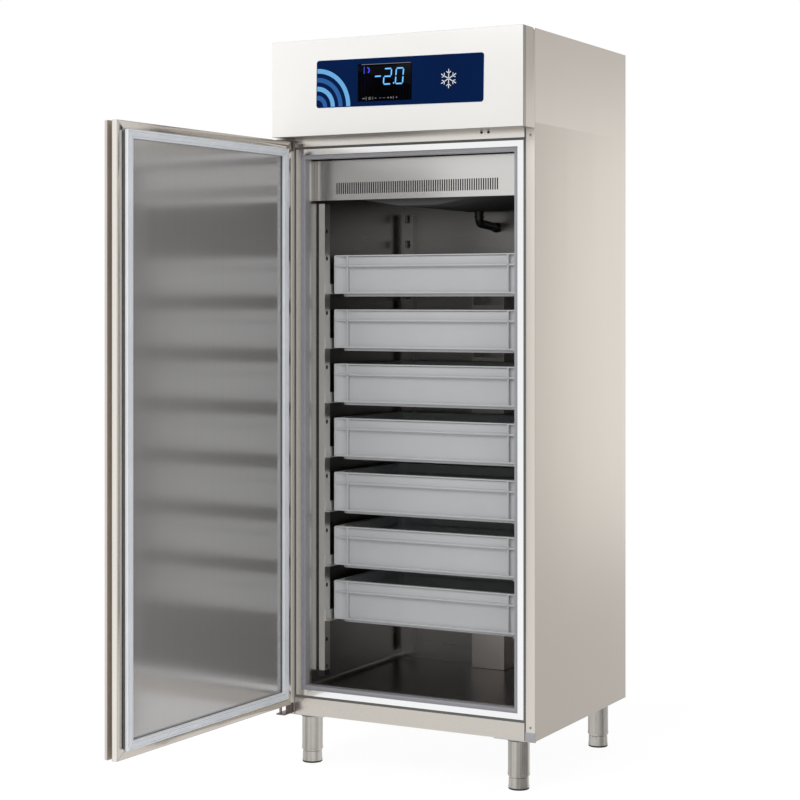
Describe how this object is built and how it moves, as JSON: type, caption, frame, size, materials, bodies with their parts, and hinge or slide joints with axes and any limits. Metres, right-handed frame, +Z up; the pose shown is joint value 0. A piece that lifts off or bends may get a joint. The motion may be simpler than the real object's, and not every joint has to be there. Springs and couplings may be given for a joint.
{
  "type": "refrigerated fish cabinet",
  "caption": "Tall insulated cabinet on levelling feet, with a side-hinged full-height door, sliding grey boxes on runners and a hinged control fascia over the refrigeration unit.",
  "frame": {"origin": "on the floor, at the centre of the rectangle of the four feet", "axes": "+X to the right seen from the front, +Y to the back, +Z up; the door opening faces -Y"},
  "size_m": [0.8172, 1.4825, 2.067],
  "materials": {
    "outer_steel": "satin stainless sheet, vertical grain",
    "inner_steel": "bright satin stainless sheet",
    "zinc_steel": "zinc-coated sheet",
    "foam": "rigid foam with a skin",
    "frame_plastic": "white extruded plastic",
    "diffuser_paint": "light grey paint",
    "fascia_paint": "white satin paint",
    "label_film": "printed dark blue film",
    "display_glass": "black gloss window",
    "gasket_rubber": "grey-blue magnetic seal",
    "handle_plastic": "dark brown extrusion",
    "box_plastic": "light grey moulded plastic",
    "black_plastic": "black moulded plastic",
    "fin_aluminium": "mill finish fins",
    "copper": "copper tube",
    "motor_paint": "black paint"
  },
  "bodies": {
    "cabinet": {"side_panel_left": "outer_steel", "side_panel_right": "outer_steel", "back_panel": "outer_steel", "base_panel": "outer_steel", "machine_deck": "zinc_steel", "bay_rails": "zinc_steel", "insulation_foam": "foam", "inner_liner": "inner_steel", "breaker_frame": "frame_plastic", "front_header": "outer_steel", "front_sill": "outer_steel", "front_uprights": "inner_steel", "rear_uprights": "inner_steel", "upright_clips": "black_plastic", "runners_left": "inner_steel", "runners_right": "inner_steel", "rear_duct": "inner_steel", "diffuser_panel": "diffuser_paint", "evaporator_tray": "inner_steel", "evaporator_coil": "fin_aluminium", "evaporator_fan_plate": "inner_steel", "evaporator_fan_motor": "motor_paint", "drain_pipe": "black_plastic", "leg_plates": "outer_steel", "leg_tubes": "outer_steel", "hinge_brackets": "outer_steel", "hinge_pins": "outer_steel", "front_screws": "outer_steel", "compressor": "motor_paint", "condenser_coil": "fin_aluminium", "condenser_shroud": "zinc_steel", "condenser_fan_motor": "motor_paint", "refrigerant_pipes": "copper", "electrical_box": "zinc_steel", "filter_drier": "copper", "condensate_pan": "zinc_steel"},
    "door": {"door_outer_skin": "outer_steel", "door_foam": "foam", "door_inner_pan": "inner_steel", "door_gasket": "gasket_rubber", "door_handle_channel": "handle_plastic", "door_hinge_bushes": "frame_plastic"},
    "fascia": {"fascia_panel": "fascia_paint", "fascia_lugs": "outer_steel", "control_label": "label_film", "display_window": "display_glass", "controller": "black_plastic"},
    "fish_box_1": {"fish_box_1": "box_plastic"},
    "fish_box_2": {"fish_box_2": "box_plastic"},
    "fish_box_3": {"fish_box_3": "box_plastic"},
    "fish_box_4": {"fish_box_4": "box_plastic"},
    "fish_box_5": {"fish_box_5": "box_plastic"},
    "fish_box_6": {"fish_box_6": "box_plastic"},
    "fish_box_7": {"fish_box_7": "box_plastic"},
    "foot_front_left": {"foot_front_left": "outer_steel"},
    "foot_front_right": {"foot_front_right": "outer_steel"},
    "foot_back_left": {"foot_back_left": "outer_steel"},
    "foot_back_right": {"foot_back_right": "outer_steel"},
    "evaporator_fan": {"evaporator_fan": "black_plastic"},
    "condenser_fan": {"condenser_fan": "black_plastic"}
  },
  "joints": [
    {"name": "door_hinge", "type": "hinge", "parent": "cabinet", "child": "door", "pos_m": [-0.385, -0.365, 0.98], "axis": [0, 0, -1], "range_deg": [-92, 18]},
    {"name": "fascia_hinge", "type": "hinge", "parent": "cabinet", "child": "fascia", "pos_m": [0, -0.334, 2.053], "axis": [-1, 0, 0], "range_deg": [0, 35]},
    {"name": "fish_box_1_slide", "type": "slide", "parent": "cabinet", "child": "fish_box_1", "axis": [0, -1, 0], "range_m": [0, 0.3]},
    {"name": "fish_box_2_slide", "type": "slide", "parent": "cabinet", "child": "fish_box_2", "axis": [0, -1, 0], "range_m": [0, 0.3]},
    {"name": "fish_box_3_slide", "type": "slide", "parent": "cabinet", "child": "fish_box_3", "axis": [0, -1, 0], "range_m": [0, 0.3]},
    {"name": "fish_box_4_slide", "type": "slide", "parent": "cabinet", "child": "fish_box_4", "axis": [0, -1, 0], "range_m": [0, 0.3]},
    {"name": "fish_box_5_slide", "type": "slide", "parent": "cabinet", "child": "fish_box_5", "axis": [0, -1, 0], "range_m": [0, 0.3]},
    {"name": "fish_box_6_slide", "type": "slide", "parent": "cabinet", "child": "fish_box_6", "axis": [0, -1, 0], "range_m": [0, 0.3]},
    {"name": "fish_box_7_slide", "type": "slide", "parent": "cabinet", "child": "fish_box_7", "axis": [0, -1, 0], "range_m": [0, 0.3]},
    {"name": "foot_front_left_screw", "type": "slide", "parent": "cabinet", "child": "foot_front_left", "axis": [0, 0, -1], "range_m": [0, 0.03]},
    {"name": "foot_front_right_screw", "type": "slide", "parent": "cabinet", "child": "foot_front_right", "axis": [0, 0, -1], "range_m": [0, 0.03]},
    {"name": "foot_back_left_screw", "type": "slide", "parent": "cabinet", "child": "foot_back_left", "axis": [0, 0, -1], "range_m": [0, 0.03]},
    {"name": "foot_back_right_screw", "type": "slide", "parent": "cabinet", "child": "foot_back_right", "axis": [0, 0, -1], "range_m": [0, 0.03]},
    {"name": "evaporator_fan_spin", "type": "hinge", "parent": "cabinet", "child": "evaporator_fan", "pos_m": [0, -0.032, 1.68215], "axis": [0, 1, 0], "continuous": true},
    {"name": "condenser_fan_spin", "type": "hinge", "parent": "cabinet", "child": "condenser_fan", "pos_m": [0.19, -0.178, 1.925], "axis": [0, 1, 0], "continuous": true}
  ]
}
